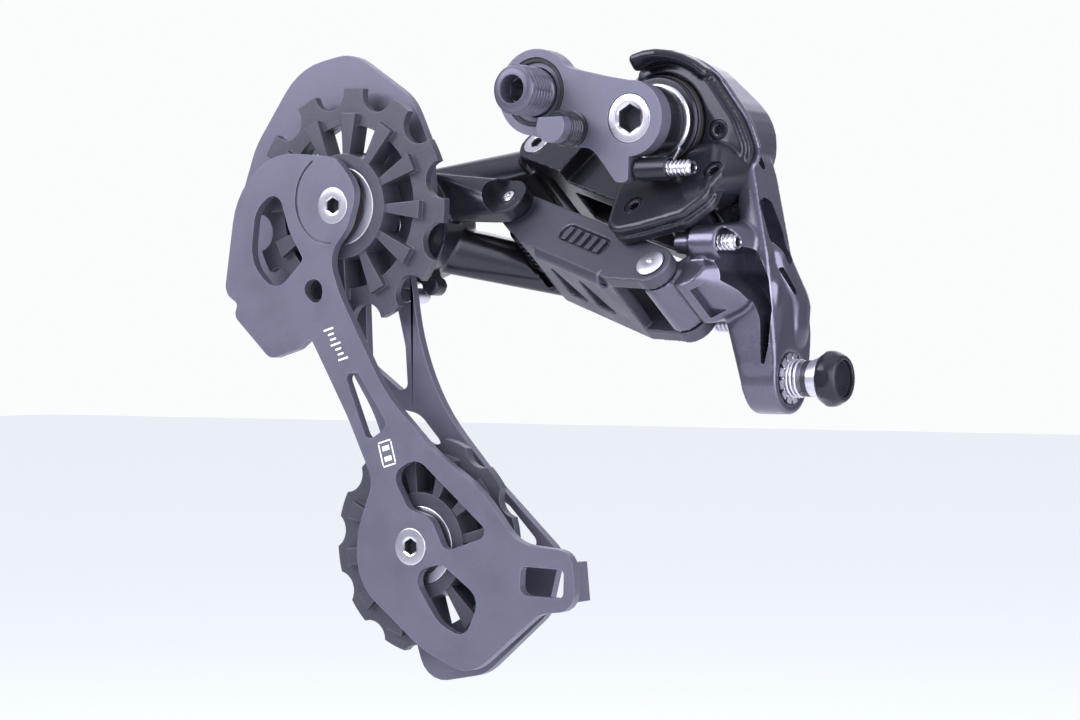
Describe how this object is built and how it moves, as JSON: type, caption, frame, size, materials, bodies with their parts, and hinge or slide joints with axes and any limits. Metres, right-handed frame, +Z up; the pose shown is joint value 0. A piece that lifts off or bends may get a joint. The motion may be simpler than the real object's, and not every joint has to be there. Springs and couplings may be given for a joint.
{
  "type": "rear bicycle derailleur",
  "caption": "Rear bicycle derailleur with a slant parallelogram, a sprung two-plate chain cage, toothed pulleys, a hanger link and a threaded hanger bolt.",
  "frame": {"origin": "on the hanger bolt's axis, at the inner face of the hanger link", "axes": "+X to the rear of the bicycle, +Y outboard from the wheel, +Z up"},
  "size_m": [0.1397, 0.0495, 0.13],
  "materials": {
    "anodised_plate": "satin dark grey anodised, faintly violet",
    "black_steel": "black oxide, semi-gloss",
    "rubber": "matt black",
    "silver_steel": "bright machined steel",
    "spring_steel": "drawn wire, semi-bright",
    "bronze": "sintered bush",
    "black_body": "glossy black with soft lilac reflections",
    "grey_link": "satin dark grey",
    "pulley_resin": "satin moulded resin"
  },
  "bodies": {
    "hanger": {"hanger_link": "anodised_plate", "hanger_bolt": "black_steel", "hanger_bolt_seal": "rubber", "pivot_bolt": "silver_steel", "pivot_sleeve": "black_steel", "pivot_clip": "silver_steel"},
    "upper_body": {"upper_body_shell": "black_body", "upper_body_cover": "black_body", "cover_screws": "black_steel", "pivot_bush": "bronze", "pivot_spring": "spring_steel", "pivot_collar": "rubber", "stop_plate": "silver_steel", "adjuster_spring": "spring_steel", "adjuster_detent": "silver_steel", "rear_pins": "silver_steel"},
    "stop_screw": {"stop_screw": "silver_steel"},
    "limit_screw_high": {"limit_screw_high": "silver_steel"},
    "limit_screw_low": {"limit_screw_low": "silver_steel"},
    "adjuster": {"adjuster_barrel": "black_body"},
    "inner_link": {"inner_link": "grey_link", "return_spring": "spring_steel"},
    "outer_link": {"outer_link": "black_body", "cable_clamp_plate": "black_body", "cable_clamp_bolt": "black_steel"},
    "lower_body": {"lower_body": "black_body", "lower_body_cap": "black_body", "front_pins": "silver_steel", "cage_bush": "bronze", "cage_spring": "spring_steel", "cage_dust_seal": "rubber"},
    "cage": {"inner_cage_plate": "anodised_plate", "outer_cage_plate": "anodised_plate", "cage_axle": "silver_steel", "cage_axle_clip": "silver_steel", "cage_stop_pin": "silver_steel", "upper_pulley_bolt": "silver_steel", "upper_bearing_sleeve": "silver_steel", "lower_pulley_bolt": "silver_steel", "lower_bearing_sleeve": "silver_steel"},
    "upper_pulley": {"upper_pulley_wheel": "pulley_resin", "upper_bearing_ring": "silver_steel", "upper_bearing_balls": "silver_steel", "upper_bearing_shields": "rubber"},
    "lower_pulley": {"lower_pulley_wheel": "pulley_resin", "lower_bearing_ring": "silver_steel", "lower_bearing_balls": "silver_steel", "lower_bearing_shields": "rubber"}
  },
  "joints": [
    {"name": "hanger_pivot", "type": "hinge", "parent": "hanger", "child": "upper_body", "pos_m": [0.022, 0, -0.0062], "axis": [0, 1, 0], "range_deg": [-35, 0], "stiffness_Nm_per_rad": 0.6, "springref_deg": 34.38},
    {"name": "rear_inner_pivot", "type": "hinge", "parent": "upper_body", "child": "inner_link", "pos_m": [0.02866, 0.00608, -0.04041], "axis": [-0.1116, -0.766, 0.633], "range_deg": [0, 65], "stiffness_Nm_per_rad": 0.5, "springref_deg": -40.11},
    {"name": "rear_outer_pivot", "type": "hinge", "parent": "upper_body", "child": "outer_link", "pos_m": [0.02862, 0.01393, -0.02696], "axis": [-0.1116, -0.766, 0.633], "range_deg": [0, 65]},
    {"name": "front_inner_pivot", "type": "hinge", "parent": "inner_link", "child": "lower_body", "pos_m": [-0.01311, 0.02236, -0.02808], "axis": [-0.1116, -0.766, 0.633], "range_deg": [-65, 0]},
    {"name": "cage_pivot", "type": "hinge", "parent": "lower_body", "child": "cage", "pos_m": [-0.041, 0, -0.025], "axis": [0, 1, 0], "range_deg": [0, 110], "stiffness_Nm_per_rad": 0.12, "springref_deg": -57.3},
    {"name": "upper_pulley_spin", "type": "hinge", "parent": "cage", "child": "upper_pulley", "pos_m": [-0.047, 0.0011, -0.0213], "axis": [0, 1, 0], "continuous": true},
    {"name": "lower_pulley_spin", "type": "hinge", "parent": "cage", "child": "lower_pulley", "pos_m": [-0.02702, 0.0011, -0.09099], "axis": [0, 1, 0], "continuous": true},
    {"name": "stop_screw_travel", "type": "slide", "parent": "upper_body", "child": "stop_screw", "axis": [1, 0, 0], "range_m": [0, 0.004]},
    {"name": "limit_screw_high_travel", "type": "slide", "parent": "upper_body", "child": "limit_screw_high", "axis": [1, 0, 0], "range_m": [0, 0.003]},
    {"name": "limit_screw_low_travel", "type": "slide", "parent": "upper_body", "child": "limit_screw_low", "axis": [1, 0, 0], "range_m": [0, 0.003]},
    {"name": "adjuster_turn", "type": "hinge", "parent": "upper_body", "child": "adjuster", "pos_m": [0.055, 0.017, -0.0566], "axis": [1, 0, 0], "continuous": true}
  ],
  "couplings": [
    {"joint": "rear_outer_pivot", "follows": "rear_inner_pivot", "ratio": 1},
    {"joint": "front_inner_pivot", "follows": "rear_inner_pivot", "ratio": -1}
  ]
}
